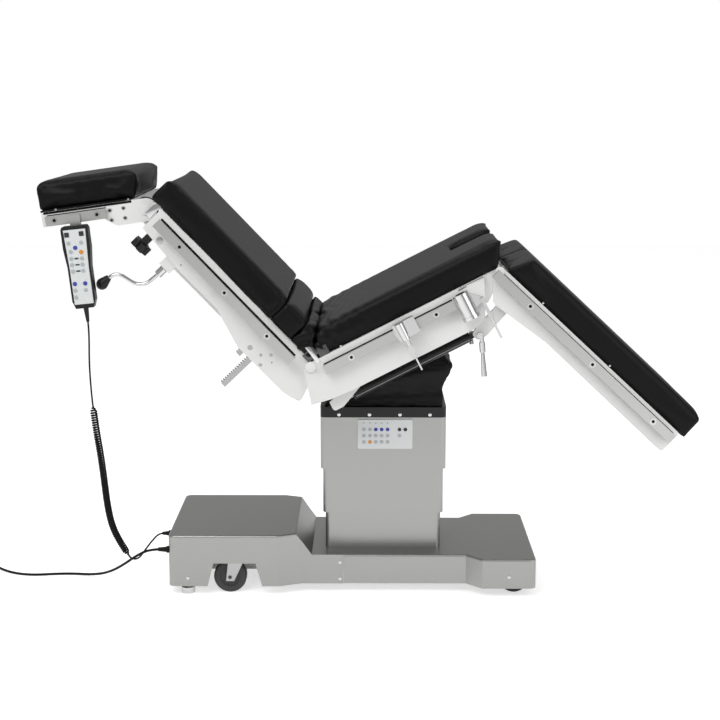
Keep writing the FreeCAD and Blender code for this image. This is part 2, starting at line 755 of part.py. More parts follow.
def make_back_frame():
    plate_points = [(20, -4), (51, -88), (0, -101), (-169, -102), (-276, -71), (-414, -72),
                    (-556, -61), (-556, frame_top), (-8, frame_top)]
    near = [side_plate(plate_points, -inner_out, -inner_in, [((0,), 10), ((1, 2), 12), ((3, 4), 25)])]
    near.append(side_plate([(-512, -60), (-549, -60), (-back_length - 20, -neck_drop - 20),
                            (-back_length - 14, -neck_drop + 22), (-549, -14), (-512, -14)],
                           -NECK_EAR_OUT, -NECK_EAR_OUT + 12))
    near.append(rod("Y", -back_length, -NECK_EAR_OUT, -neck_drop, 28, 12))
    near.append(rod("Y", -rack_face + 17 + 6.3, -inner_in, -94, 6, inner_in - RACK_Y + 8))
    pieces = both_sides(near)
    wide = inner_in
    pieces.append(rod("Y", -back_length, -HEAD_ARM_OUT - 2, -neck_drop, neck_rod, 2 * HEAD_ARM_OUT + 4))
    for x0, x1 in ((-549, -512), (-455, -425), (-201, -171)):
        pieces.append(box(x0, x1, -wide, wide, -60, -31.7))
    for side in (-1, 1):
        pieces.append(box(-549, -171, side * 120 - 12, side * 120 + 12, -44, frame_top - board))
    pieces.append(box(-556, -kidney_high - 4, -wide, wide, frame_top - board, frame_top))
    pieces.append(box(-84, -30, -wide, wide, frame_top - board, frame_top))
    holes = [rod("Y", 0, -300, 0, hinge_rod + fit, 600),
             rod("Y", pinion_centre(), -300, PINION_Z, 7 + fit, 600)]
    node("back_frame", cut(fuse(pieces), holes), back_frame)


HEAD_ARM_OUT = 222.0
NECK_EAR_OUT = 209.4


def make_kidney_drive():
    """Two racks under the bridge bar, their pinions on one shaft, the gear housings and the crank."""
    pitch = module * math.pi
    thick, tip = 1.5, 0.8
    face = -rack_face
    points = [(face + 17, -28), (face + 17, -205), (face + 2.8, -205)]
    z = as_size(-203)
    for _ in range(23):
        points += [(face + 2.8, z), (face - 1.9, z + 0.9), (face - 1.9, z + 0.9 + 2 * tip),
                   (face + 2.8, z + 1.8 + 2 * tip)]
        z = z + pitch
    points.append((face + 2.8, -28))
    rack = side_plate(points, -RACK_Y - 6, -RACK_Y + 6)
    bar = box(-kidney_high + 13, -kidney_low - 12, -inner_in + 5, inner_in - 5, -28, frame_top)
    node("kidney_bridge", fuse(both_sides([rack]) + [bar]), back_frame)
    root = module * (pinion_teeth / 2) - 2.8
    crown = module * (pinion_teeth / 2) + 1.9
    gear_points = []
    step = 2 * math.pi / pinion_teeth
    start = mesh_phase()
    for i in range(pinion_teeth):
        middle = start + i * step
        for radius, half in ((root, 2.0), (crown, tip), (crown, -tip), (root, -2.0)):
            a = middle - half / float(radius)
            gear_points.append((pinion_centre() + radius * math.cos(a), PINION_Z + radius * math.sin(a)))
    gear = side_plate(gear_points, -RACK_Y - 6, -RACK_Y + 6)
    shaft = rod("Y", pinion_centre(), -inner_out, PINION_Z, 7, 2 * inner_out)
    node("kidney_pinions", fuse(both_sides([gear]) + [shaft]), back_frame)
    end_box = box(CRANK_AT[0] - 18, CRANK_AT[0] + 18, -inner_in + 1, -178, -98, -60)
    tube = rod("X", CRANK_AT[0] + 18, -192, -80, 9, -172 - CRANK_AT[0] - 18)
    gear_box = box(-203, -126, -208, -178, -98, -60)
    bores = [rod("Y", pinion_centre(), -300, PINION_Z, 7 + fit, 600),
             rod("Z", CRANK_AT[0], CRANK_AT[1], -110, 6 + fit, 30)]
    node("kidney_gearbox", cut(fuse([end_box, tube, gear_box]), bores), back_frame)
    make_crank()


def mesh_phase():
    """The pinion's turn at which a gap between its teeth faces a rack tooth."""
    pitch = float(module) * math.pi
    tooth_middle = -203 + 0.9 + 0.8
    offset = (tooth_middle - PINION_Z) % pitch
    step = 2 * math.pi / pinion_teeth
    return (offset / pitch) * step + step / 2


CRANK_AT = (-443.5, -226.0)


def make_crank():
    """The hand crank: a socket on the input shaft, a twice bent rod and an egg-shaped knob."""
    x, y = CRANK_AT
    made = fresh("Part::Feature", "Crank")
    v = FreeCAD.Vector
    shaft = Part.makeCylinder(6, 40, v(x, y, -122), v(0, 0, 1))
    socket = Part.makeCylinder(11, 22, v(x, y, -122), v(0, 0, 1))
    arm = bent_tube([(x, y, -112), (x - 5, y, -178), (x - 80, y, -197), (x - 83, y, -240)], 5)
    centre = x - 83
    spots = [v(centre, y, -260), v(centre, y, -220), v(centre + 8, y, -220), v(centre + 15, y, -241),
             v(centre + 4, y, -260)]
    edges = [Part.LineSegment(a, b).toShape() for a, b in zip(spots, spots[1:4])]
    edges.append(Part.Arc(spots[3], v(centre + 12.2, y, -254), spots[4]).toShape())
    edges.append(Part.LineSegment(spots[4], spots[0]).toShape())
    knob = Part.Face(Part.Wire(edges)).revolve(v(centre, y, 0), v(0, 0, 1), 360)
    made.Shape = shaft.multiFuse([socket, arm, knob])
    node("kidney_crank", made, back_frame)


# Head section

def make_head_section():
    arm = fuse([
        side_plate([(30, -30), (30, 29.5), (-268, 29.5), (-268, -8), (-108, -8), (-78, -30)],
                   -HEAD_ARM_OUT, -HEAD_ARM_OUT + 12, [((0, 1), 29.3)]),
    ])
    inner = HEAD_ARM_OUT - 12
    pieces = both_sides([arm])
    pieces.append(box(-265, -237, -inner, inner, 5, 29.5))
    pieces.append(box(-97, -68, -inner, inner, 5, 29.5))
    pieces.append(box(-270, -35, -inner - 6, inner + 6, 29, 33.7))
    node("head_frame", cut(fuse(pieces), [rod("Y", 0, -300, 0, neck_rod + fit, 600)]), head_frame)
    side = 200
    pad = side_plate([(-275, 34), (-23, 34), (-neck_overhang - 1, 98), (-276, 98)], -side, side)
    node("head_pad", pad, head_frame)


def make_head_knob():
    """The lobed knob that locks the neck hinge, on its screw under the back frame."""
    x, y = -528, -205
    lobes = [rod("Z", x + 17 * math.cos(i * math.tau / 5), y + 17 * math.sin(i * math.tau / 5), -116, 10, 22)
             for i in range(5)]
    core = rod("Z", x, y, -116, 17, 22)
    hub = rod("Z", x, y, -94, 11, 28)
    screw = rod("Z", x, y, -67, 5, 6.7)
    node("head_knob", fuse([core, hub, screw] + lobes), back_frame)


# Handset

def handset_frame():
    return section_frame(-6, -751.4, 1007.2)


def make_handset():
    rail_face = HEAD_ARM_OUT + 8 + float(rail_thick)
    back, front = -(rail_face + 6), -(rail_face + 34)
    shell = side_plate([
        (-31, 0), (-35, -8), (-35, -58), (-30, -106), (-30, -193), (-23, -212.5),
        (23, -212.5), (30, -193), (30, -106), (35, -58), (35, -8), (31, 0),
    ], front, back, [((0, 2, 3, 8, 9, 11), 6)])
    recess = side_plate([(-29, -9), (-25, -108), (-25, -202), (25, -202), (25, -108), (29, -9)],
                        front - 1, front + 2)
    hook = [box(-14, 14, back, back + 6, -40, 26)]
    relief = rod("Z", 0, (front + back) / 2, -250, 4, 38, 7)
    node("handset_shell", fuse([cut(shell, [recess])] + hook + [relief]), handset_frame())
    keypad = side_plate([(-28.5, -9.5), (-24.5, -108), (-24.5, -201.5), (24.5, -201.5), (24.5, -108),
                         (28.5, -9.5)], front - 0.5, front + 2)
    node("handset_keypad", keypad, handset_frame())


# Legs

inner_leg = cell("leg_inner_plate_from_centre", 8)
leg_top = cell("leg_frame_top_above_hinge_line", 12.7)


def make_leg(name, far):
    outline_points = [(0, 9.7), (24, leg_top), (leg_length, leg_top), (leg_length, -55), (212, -52),
                      (47, -71), (-8, -20), (-8, 0)]
    outer = side_plate(outline_points, -half_width, -half_width + plate,
                       [((2, 3), 8), ((4,), 30), ((5,), 14)])
    inner = side_plate([(0, 9.7), (24, leg_top), (leg_length, leg_top), (leg_length, -34), (48, -34),
                        (-8, -14), (-8, 0)], -inner_leg - 8, -inner_leg)
    eyes = [rod("Y", 0, -half_width, 0, 9.8, plate), rod("Y", 0, -inner_leg - 8, 0, 9.8, 8)]
    wide = half_width - plate
    cross = [box(x, x + 30, -wide, -inner_leg - 8, -40, -14) for x in (60, 330, leg_length - 47)]
    sheet_metal = box(26, leg_length, -wide, -inner_leg - 8, leg_top - board, leg_top)
    a, b = leg_ear()
    arm = side_plate([(58, -16), (90, -16), (a + 17, b + 8), (a + 8, b - 16), (a - 12, b - 16),
                      (a - 17, b + 8)], -arm_out, -arm_out + 13, [((2, 3, 4, 5), 8)])
    pin = rod("Y", a, -arm_out + 13, b, 9, 1)
    made = cut(fuse([outer, inner, sheet_metal, arm, pin] + eyes + cross),
               [rod("Y", 0, -300, 0, hinge_rod + fit, 300)])
    node("leg_frame_" + name, mirrored(made) if far else made, leg_frame)
    side = half_width - pad_inset
    bottom = leg_top + seat_gap
    pad = side_plate([(11.5, bottom), (knee_nose + 5, bottom + pad_thick + 1),
                      (leg_length + 14, bottom + pad_thick + 1), (leg_length + 16, bottom)],
                     -side, -inner_leg + 4)
    node("leg_pad_" + name, mirrored(pad) if far else pad, leg_frame)


def leg_ear():
    """The end of the strut, as the leg frame sees it."""
    spot = seat_frame.multVec(FreeCAD.Vector(STRUT_END, 0, STRUT_FOOT[1]))
    local = leg_frame.inverse().multVec(spot)
    return local.x, local.z


strut_radius = cell("strut_cylinder_radius", 14)
strut_rod = cell("strut_rod_radius", 6)


def make_strut(name, side):
    a, b = STRUT_FOOT
    y = side * STRUT_Y
    eye = cut(fuse([rod("Y", a, y - 9, b, 12, 18), box(a, a + 30, y - 9, y + 9, b - 9, b + 9)]),
              [rod("Y", a, y - 20, b, 6 + fit, 40)])
    stem = rod("X", a + 20, y, b, strut_rod, 300)
    piston = rod("X", a + 306, y, b, strut_radius - 3 - fit, 14)
    node("strut_rod_" + name, fuse([eye, stem, piston]), seat_frame)
    start = a + 48
    tube = rod("X", start, y, b, strut_radius, STRUT_END - 26 - start)
    bore = rod("X", start + 20, y, b, strut_radius - 3, STRUT_END - 26 - start - 30)
    gland = rod("X", start - 1, y, b, strut_rod + fit, 40)
    end = fuse([rod("Y", STRUT_END, y - 9, b, 12, 18),
                box(STRUT_END - 30, STRUT_END, y - 9, y + 9, b - 7, b + 7)])
    node("strut_cylinder_" + name, fuse([cut(tube, [bore, gland]), end]), seat_frame)


# Clamps and levers

SOCKET_X = 429.6
CLAMP_X = 256.0


def make_clamps():
    y = -(half_width + 26)
    tube = rod("Z", SOCKET_X, y, -71, 21.5, 70)
    collar = rod("Z", SOCKET_X, y, -71, 23.5, 8)
    gusset = side_plate([(SOCKET_X + 14, -4), (SOCKET_X + 50, -38), (SOCKET_X + 50, -46), (SOCKET_X + 14, -56)],
                        -half_width - 9, -half_width - 1)
    web = box(SOCKET_X - 16, SOCKET_X + 16, -half_width - 10, -half_width, -58, -14)
    socket = cut(fuse([tube, collar, gusset, web]),
                 [rod("Z", SOCKET_X, y, -90, 14, 100)])
    body = side_plate([(240, -42), (290, -40), (290, 3), (237, 5), (234.5, -21)], -rail_out - 12, -rail_out)
    barrel = rod("Z", CLAMP_X, -rail_out - 13, -43, 10.5, 46, 12.6)
    wedge = side_plate([(278, -31), (298, -40), (298, 4), (280, 6)], -rail_out - 19, -rail_out)
    lips = box(240, 294, -rail_out - 1, -rail_in + 2, -9 + seat_gap, 5)
    block = cut(fuse([body, barrel, wedge, lips]), [rod("Z", CLAMP_X, -rail_out - 13, -60, 5 + fit, 44)])
    node("rail_clamps", fuse(both_sides([socket]) + [block]), seat_frame)
    screw = fuse([rod("Z", CLAMP_X, -rail_out - 13, -64, 5, 45),
                  rod("Y", CLAMP_X, -rail_out - 19, -70, 9, 12),
                  rod("Z", CLAMP_X, -rail_out - 13, -131, 2.6, 58)])
    node("clamp_screw", screw, seat_frame)


def make_levers(name, far):
    x, z = SOCKET_X + 44.5, -42
    link = fuse([rod("Y", x, -half_width - 15, z, 6, 5.7),
                 side_plate([(x - 4, z), (x + 4, z), (x + 5, z - 52), (x - 5, z - 52)],
                            -half_width - 15, -half_width - 9.3),
                 rod("Z", x, -half_width - 12.2, z - 112, 2.7, 64)])
    node("socket_lever_" + name, mirrored(link) if far else link, seat_frame)
    a, b = leg_ear()
    spot = leg_frame.multVec(FreeCAD.Vector(a, 0, b))
    frame = section_frame(-4.8, spot.x, spot.z)
    y = -float(arm_out) - 6.5
    hub = rod("Y", 0, y - 5, -4, 8, 11.2)
    neck = rod("Z", 4, y, -34, 5.5, 30)
    ferrule = rod("Z", 4, y, -48, 7.5, 26)
    grip = rod("Z", 4, y, -112, 7.5, 66, 4.5)
    made = fuse([hub, neck, ferrule, grip])
    node("release_lever_" + name, mirrored(made) if far else made, frame)


# Cords

def bent_tube(points, radius):
    """A round tube along straight runs, with each corner rounded as far as its two runs allow."""
    spots = [FreeCAD.Vector(*p) for p in points]
    edges, radii, last = [], [], spots[0]
    for before, corner, after in zip(spots, spots[1:], spots[2:]):
        back, ahead = before - corner, after - corner
        cut_back = 0.45 * min(back.Length, ahead.Length)
        turn = math.pi - back.getAngle(ahead)
        radii.append(cut_back / math.tan(turn / 2))
        start = corner + back.normalize() * cut_back
        end = corner + ahead.normalize() * cut_back
        middle = (back + ahead).normalize()
        reach = radii[-1] / math.cos(turn / 2) - radii[-1]
        edges += [Part.LineSegment(last, start), Part.Arc(start, corner + middle * reach, end)]
        last = end
    edges.append(Part.LineSegment(last, spots[-1]))
    path = Part.Wire([edge.toShape() for edge in edges])
    heading = spots[1] - spots[0]
    ring = Part.Wire(Part.makeCircle(radius, spots[0], heading))
    made = path.makePipeShell([ring], True, True)
    ideal = math.pi * radius ** 2 * path.Length
    print("cord length", round(path.Length), "volume ratio", round(made.Volume / ideal, 4),
          "radii", [round(r) for r in radii])
    return made


MAINS_ROUTE = [
    (-571, -185, 122.6), (-592.4, -184, 120.5), (-614.6, -178, 111.1), (-641.1, -162, 91.5),
    (-673.8, -138, 63.6), (-708.4, -108, 36.8), (-744.9, -76, 16.3), (-787.2, -50, 5.3),
    (-831.4, -38, 3.6), (-883.7, -40, 3.5), (-938.2, -50, 3.5), (-984.3, -42, 3.5),
    (-1022, -22, 4), (-1056, 6, 6), (-1085, 26, 9),
]
LEAD_TOP = [
    (-725.3, -260, 758.1), (-723.7, -261, 740.5), (-723.5, -262, 705.9), (-724.8, -262, 667.3),
    (-724.6, -262, 627.5), (-723, -262, 588.5), (-721.1, -262, 557.5), (-719.3, -262, 535.4),
]
CURL_ROUTE = [
    (-719.3, -262, 535.4), (-713.9, -259, 473.9), (-705.4, -250, 400.9), (-700.6, -237, 327.4),
    (-697.7, -221, 257.7), (-690.5, -205, 195.9), (-672, -188, 142.2), (-652, -180, 105.5),
]
LEAD_END = [
    (-652, -180, 105.5), (-646.2, -177.6, 94.9), (-635.7, -173.5, 90.6), (-624.8, -169.2, 93.2),
    (-616.1, -165.7, 104.2), (-606.4, -161.2, 117), (-596.9, -155, 129.6), (-586.9, -148, 139.9),
    (-577.2, -137.5, 150), (-565, -135, 152.5),
]
curl_radius = cell("curly_cord_outer_radius", 10)
coil_middle = cell("stowed_coil_middle_radius", 40)
coil_thick = cell("stowed_coil_section_radius", 11)
COIL_AT = (-1128.0, 40.0)


def make_cords():
    for name, route, radius in (("mains_cord", MAINS_ROUTE, mains_radius),
                                ("handset_curl", CURL_ROUTE, curl_radius)):
        made = fresh("Part::Feature", "Cord")
        made.Shape = bent_tube(route, float(radius))
        node(name, made)
    lead = fresh("Part::Feature", "Cord")
    lead.Shape = Part.makeCompound([bent_tube(LEAD_TOP, float(lead_radius)), bent_tube(LEAD_END, float(lead_radius))])
    node("handset_lead", lead)
    x, y = COIL_AT
    ring = fresh("Part::Torus", "Coil")
    bind(ring, "Radius1", coil_middle)
    bind(ring, "Radius2", coil_thick)
    ring.Placement = FreeCAD.Placement(FreeCAD.Vector(x, y, float(coil_thick)), FreeCAD.Rotation())
    node("mains_coil", ring)
    plug_x = x - coil_middle
    tail = rod("Y", plug_x, y + 12, 19, 4, 30, 6)
    body = rod("Y", plug_x, y + 42, 19, 15, 34, 19)
    collar = rod("Y", plug_x, y + 76, 19, 19, 6)
    pins = [rod("Y", plug_x + side * 9.5, y + 82, 19, 2.4, 20) for side in (-1, 1)]
    node("mains_plug", fuse([body, collar, tail] + pins))


def write_parts():
    doc.recompute()
    for item in doc.Objects:
        if "Invalid" in item.State or "Error" in item.State:
            raise RuntimeError(f"{item.Name} {item.Label} did not recompute: {item.State}")
    for name, made in NODES:
        shape = made.Shape
        if shape.isNull() or not shape.isValid() or not shape.Solids:
            raise RuntimeError(f"{name} has no valid solid")
        shape.exportStep(f"parts/{name}.step")
    print(len(NODES), "parts written")


def build():
    make_chassis()
    make_head_cover()
    make_deck_cover()
    make_power_unit()
    make_brake_feet()
    make_casters()
    make_glands()
    make_column()
    make_yoke()
    make_control_panel()
    make_gaiter()
    make_seat_frame()
    make_rails()
    make_seat_pad()
    make_back_frame()
    make_back_pads()
    make_kidney_drive()
    make_head_section()
    make_head_knob()
    make_handset()
    make_clamps()
    for name, side in (("near", -1), ("far", 1)):
        make_leg(name, side > 0)
        make_strut(name, side)
        make_levers(name, side > 0)
    make_cords()
    write_parts()


build()
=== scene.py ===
# %% [markdown]
# # Operating table: looks
#
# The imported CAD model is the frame: every steel, painted and chromed piece comes from it with
# its real size. What CAD can't give is made here: finishes, stuffed pads, a soft sleeve around
# the column's top, real cords, and the screws and buttons that are too small for the frame.

# %% Load the frame
import json
import math

import bmesh
import bpy
import numpy as np
from mathutils import Matrix, Vector


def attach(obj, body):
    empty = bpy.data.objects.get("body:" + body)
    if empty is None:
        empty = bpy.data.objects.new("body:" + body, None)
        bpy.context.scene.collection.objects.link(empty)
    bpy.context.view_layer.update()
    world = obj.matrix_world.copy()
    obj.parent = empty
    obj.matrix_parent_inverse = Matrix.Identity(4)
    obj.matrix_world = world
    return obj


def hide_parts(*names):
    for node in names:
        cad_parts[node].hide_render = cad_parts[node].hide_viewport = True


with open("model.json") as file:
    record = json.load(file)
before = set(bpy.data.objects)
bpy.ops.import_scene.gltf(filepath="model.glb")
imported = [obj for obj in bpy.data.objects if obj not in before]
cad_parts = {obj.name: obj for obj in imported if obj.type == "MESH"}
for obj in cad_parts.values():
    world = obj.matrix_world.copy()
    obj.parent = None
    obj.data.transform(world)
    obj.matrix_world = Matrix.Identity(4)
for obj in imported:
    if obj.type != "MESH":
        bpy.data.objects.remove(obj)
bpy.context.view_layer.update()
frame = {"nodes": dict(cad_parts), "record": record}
nodes = frame["nodes"]
print("CAD pieces:", len(nodes))

# %% [markdown]
# ## The sections of the table
#
# The table top is a chain of plates, each tipped about the hinge it shares with its neighbour.
# Small parts could be placed in world coordinates, but then a change of one angle would move
# them all. So each section has a frame of its own: the origin is its hinge, X runs towards the
# foot end and Z points out of the pad. Lengths are metres, with Y negative on the near side.

# %% Frames of the sections


def section(angle, x, z):
    """The frame of a section that is tipped by angle degrees about its hinge."""
    return Matrix.Translation((x, 0, z)) @ Matrix.Rotation(math.radians(angle), 4, "Y")


seat = section(-27.1, -0.1508, 0.6411)
back = section(46.26, -0.1508, 0.6411)
knee = seat @ Vector((0.546, 0, 0))
neck = back @ Vector((-0.5843, 0, -0.0283))
leg = section(42.9, knee.x, knee.z)
head = section(-8.0, neck.x, neck.z)
handset = section(-6.0, -0.7514, 1.0072)
world_frame = Matrix()
print("knee hinge at", [round(c, 4) for c in knee], "neck hinge at", [round(c, 4) for c in neck])

# %% [markdown]
# ## Materials
#
# The real table has few finishes: brushed stainless covers, white powder coat, chrome, black
# plastic and rubber, and coated fabric. A photograph wrapped around the model would carry its
# shadows with it, so each finish is a plain colour with its own roughness. Grain and pores are
# bump only, in object coordinates, so they stay on the piece from every side.

# %% A plain finish, and one with grain


def make_material(name, colour, rough, metal=0.0, specular=0.5):
    made = bpy.data.materials.new(name)
    made.use_nodes = True
    shader = made.node_tree.nodes["Principled BSDF"]
    shader.inputs["Base Color"].default_value = (*colour, 1)
    shader.inputs["Roughness"].default_value = rough
    shader.inputs["Metallic"].default_value = metal
    shader.inputs["Specular IOR Level"].default_value = specular
    return made


def add_bump(made, scale, stretch, strength, distance, detail=4.0):
    """Noise bump on a material, stretched along the object's axes."""
    tree = made.node_tree
    place = tree.nodes.new("ShaderNodeTexCoord")
    mapping = tree.nodes.new("ShaderNodeMapping")
    noise = tree.nodes.new("ShaderNodeTexNoise")
    bump = tree.nodes.new("ShaderNodeBump")
    mapping.inputs["Scale"].default_value = stretch
    noise.inputs["Scale"].default_value = scale
    noise.inputs["Detail"].default_value = detail
    bump.inputs["Strength"].default_value = strength
    bump.inputs["Distance"].default_value = distance
    tree.links.new(place.outputs["Object"], mapping.inputs["Vector"])
    tree.links.new(mapping.outputs["Vector"], noise.inputs["Vector"])
    tree.links.new(noise.outputs["Fac"], bump.inputs["Height"])
    tree.links.new(bump.outputs["Normal"], tree.nodes["Principled BSDF"].inputs["Normal"])
    return made


# %% [markdown]
# Brushed covers show long streaks, so their noise is squeezed along one axis. Coated fabric and
# rubber reflect little: a dark colour alone would still look grey under soft light, and so their
# specular level is low too.

# %% The finishes
all_round, streaks = (1, 1, 1), (1, 1, 0.02)
steel = add_bump(make_material("brushed_steel", (0.36, 0.36, 0.35), 0.36, 1.0), 240, streaks, 0.35, 0.0005)
rail_steel = make_material("rail_steel", (0.50, 0.50, 0.49), 0.34, 1.0)
paint = add_bump(make_material("white_paint", (0.86, 0.86, 0.85), 0.42), 900, all_round, 0.06, 0.0003)
zinc = make_material("zinc", (0.45, 0.45, 0.45), 0.35, 1.0)
chrome = make_material("chrome", (0.58, 0.58, 0.58), 0.14, 1.0)
black_plastic = make_material("black_plastic", (0.010, 0.010, 0.011), 0.42, specular=0.3)
add_bump(black_plastic, 500, all_round, 0.1, 0.0003)
black_metal = make_material("black_metal", (0.012, 0.012, 0.013), 0.32, specular=0.3)
rubber = make_material("rubber", (0.006, 0.006, 0.006), 0.55, specular=0.2)
add_bump(rubber, 300, all_round, 0.12, 0.0004)
leatherette = make_material("leatherette", (0.004, 0.004, 0.0045), 0.42, specular=0.14)
add_bump(leatherette, 420, all_round, 0.18, 0.0005)
grey_plastic = make_material("grey_plastic", (0.76, 0.78, 0.78), 0.5)
light_plastic = make_material("light_plastic", (0.68, 0.68, 0.64), 0.45)
tyre = make_material("tyre_rubber", (0.05, 0.05, 0.052), 0.6)
# Near-black used both for dark seams and for painted shade in gaps, behind rails and in screw sockets.
shade_and_seam_black = make_material("shade_and_seam_black", (0.008, 0.008, 0.008), 0.7, specular=0.1)
dark_sheet = make_material("dark_sheet", (0.10, 0.10, 0.10), 0.35, 0.6)
# Painted highlight: the grey of the bright stripe painted along the gas spring.
strut_highlight_grey = make_material("strut_highlight_grey", (0.30, 0.30, 0.30), 0.4)
key_colours = {
    "grey": make_material("key_grey", (0.46, 0.49, 0.50), 0.45),
    "blue": make_material("key_blue", (0.05, 0.06, 0.36), 0.45),
    "orange": make_material("key_orange", (0.72, 0.28, 0.04), 0.45),
    "black": make_material("key_black", (0.02, 0.02, 0.02), 0.45),
    "white": make_material("key_symbol", (0.30, 0.31, 0.32), 0.5),
}
print("finishes:", len(bpy.data.materials))

# %% Finish every CAD piece by its slot
slot_material = {
    "steel": steel, "paint": paint, "zinc": zinc, "chrome": chrome, "black_plastic": black_plastic,
    "black_metal": black_metal, "rubber": rubber, "leatherette": leatherette,
    "grey_plastic": grey_plastic, "light_plastic": light_plastic, "tyre": tyre,
}
for part in frame["record"]["subparts"]:
    mesh = nodes[part["node"]].data
    mesh.materials.clear()
    mesh.materials.append(slot_material[part["material_slot"]])


def paint_faces(name, materials, choose):
    """Give each face of a CAD piece one of some materials, by the middle of the face."""
    mesh = nodes[name].data
    mesh.materials.clear()
    for made in materials:
        mesh.materials.append(made)
    for polygon in mesh.polygons:
        polygon.material_index = choose(nodes[name].matrix_world @ polygon.center)


def repaint(name, finish):
    """Give a whole CAD piece one finish."""
    paint_faces(name, [finish], lambda spot: 0)


def height_in(place, spot):
    """How far a world point stands out of a section."""
    return (place.inverted() @ spot).z


for name in ("seat_rails", "back_rails", "head_rails", "leg_rail_near", "leg_rail_far"):
    repaint(name, rail_steel)
for name in ("release_lever_near", "release_lever_far"):
    repaint(name, chrome)
repaint("kidney_gearbox", paint)

# %% [markdown]
# Some welded or moulded pieces show two finishes, such as the crank with its black knob on a
# chrome rod. Splitting them would add pieces that the real table doesn't have, so the faces
# beyond a given height simply take the other finish.

# %% Pieces with two finishes
rim_underside = 0.4752
crank_grip_top = -0.2195
hook_underside = 0.003
head_board_underside = 0.0296
paint_faces("mast_inner", [zinc, black_metal], lambda spot: int(spot.z > rim_underside))
paint_faces("kidney_crank", [chrome, black_plastic], lambda spot: int(height_in(back, spot) < crank_grip_top))
paint_faces("handset_shell", [black_plastic, rail_steel],
            lambda spot: int(height_in(handset, spot) > hook_underside))
paint_faces("head_frame", [paint, shade_and_seam_black], lambda spot: int(height_in(head, spot) > head_board_underside))

# %% [markdown]
# ## Building blocks
#
# Screws, rivets and keys are short round heads, and strips and links are flat boxes. Each could
# be an object of its own, but a row of them is one part to whoever assembles the table, so a row
# is grown in one mesh from bmesh cones or cubes, with bevelled edges that catch the light.

# %% Round heads, boxes and cords


def to_object(name, mesh_data, material, body, smooth_angle=None):
    made = bpy.data.objects.new(name, mesh_data)
    bpy.context.scene.collection.objects.link(made)
    made.data.materials.append(material)
    if smooth_angle is not None:
        for polygon in made.data.polygons:
            polygon.use_smooth = True
        made.data.set_sharp_from_angle(angle=math.radians(smooth_angle))
    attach(made, body)
    return made


def discs(name, spots, place, radius, height, toward, material, body, bevel=0.0):
    """Round heads at points of a section, each standing out along a direction of that section."""
    shape = bmesh.new()
    turn = Vector((0, 0, 1)).rotation_difference(Vector(toward)).to_matrix().to_4x4()
    for spot in spots:
        at = place @ Matrix.Translation(Vector(spot) + Vector(toward) * height / 2) @ turn
        grown = bmesh.ops.create_cone(shape, cap_ends=True, segments=24, radius1=radius, radius2=radius,
                                      depth=height, matrix=at)
        if bevel:
            rim = [e for e in {e for v in grown["verts"] for e in v.link_edges}
                   if len(e.link_faces) == 2 and e.calc_face_angle(0) > 1.0]
            bmesh.ops.bevel(shape, geom=rim, offset=bevel, segments=2, affect="EDGES", profile=0.5)
    mesh_data = bpy.data.meshes.new(name)
    shape.to_mesh(mesh_data)
    shape.free()
    return to_object(name, mesh_data, material, body, 40)


def blocks(name, boxes, place, material, body, bevel=0.0, segments=2):
    """Boxes given as low and high corners in a section, with their edges rounded."""
    shape = bmesh.new()
    for low, high in boxes:
        low, high = Vector(low), Vector(high)
        grown = bmesh.ops.create_cube(shape, size=1.0)
        size = Matrix.Diagonal((*(high - low), 1))
        bmesh.ops.transform(shape, matrix=place @ Matrix.Translation((low + high) / 2) @ size,
                            verts=grown["verts"])
        if bevel:
            edges = list({e for v in grown["verts"] for e in v.link_edges})
            bmesh.ops.bevel(shape, geom=edges, offset=bevel, segments=segments, affect="EDGES", profile=0.5)
    mesh_data = bpy.data.meshes.new(name)
    shape.to_mesh(mesh_data)
    shape.free()
    return to_object(name, mesh_data, material, body, 35)


def curve_piece(name, points, radius, material, body, resolution=6):
    """A smooth cord along control points, as a NURBS curve."""
    line = bpy.data.curves.new(name, "CURVE")
    line.dimensions = "3D"
    line.bevel_depth = radius
    line.bevel_resolution = 4
    line.use_fill_caps = True
    line.resolution_u = resolution
    spline = line.splines.new("NURBS")
    spline.points.add(len(points) - 1)
    for control, spot in zip(spline.points, points):
        control.co = (*spot, 1)
    spline.order_u = 3
    spline.use_endpoint_u = True
    line.materials.append(material)
    made = bpy.data.objects.new(name, line)
    bpy.context.scene.collection.objects.link(made)
    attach(made, body)
    return made


# %% [markdown]
# ## Cords
#
# A cord hangs and lies under its own weight, so its line is one smooth NURBS curve, and its
# control points repeat the route of the CAD tube. The handset's cord is curly: its middle is a
# helix that follows points read from its own route, so that it sags as the plain cord would.

# %% Routes of the cords


def metres(points):
    return [tuple(c / 1000 for c in p) for p in points]


mains_route = metres([
    (-571, -185, 122.6), (-592.4, -184, 120.5), (-614.6, -178, 111.1), (-641.1, -162, 91.5),
    (-673.8, -138, 63.6), (-708.4, -108, 36.8), (-744.9, -76, 16.3), (-787.2, -50, 5.3),
    (-831.4, -38, 3.6), (-883.7, -40, 3.5), (-938.2, -50, 3.5), (-984.3, -42, 3.5),
    (-1022, -22, 4), (-1056, 6, 6),
])
lead_top = metres([
    (-725.3, -260, 758.6), (-723.7, -261, 740.5), (-723.5, -262, 705.9), (-724.8, -262, 667.3),
    (-724.6, -262, 627.5), (-723, -262, 588.5), (-721.1, -262, 557.5), (-719.3, -262, 535.4),
])
curl_route = metres([
    (-719.3, -262, 535.4), (-713.9, -259, 473.9), (-705.4, -250, 400.9), (-700.6, -237, 327.4),
    (-697.7, -221, 257.7), (-690.5, -205, 195.9), (-672, -188, 142.2), (-652, -180, 105.5),
])
lead_end = metres([
    (-652, -180, 105.5), (-646.2, -177.6, 94.9), (-635.7, -173.5, 90.6), (-624.8, -169.2, 93.2),
    (-616.1, -165.7, 104.2), (-606.4, -161.2, 117), (-596.9, -155, 129.6), (-586.9, -148, 139.9),
    (-577.2, -137.5, 150), (-565, -135, 152.5),
])


# %% Helix and coil


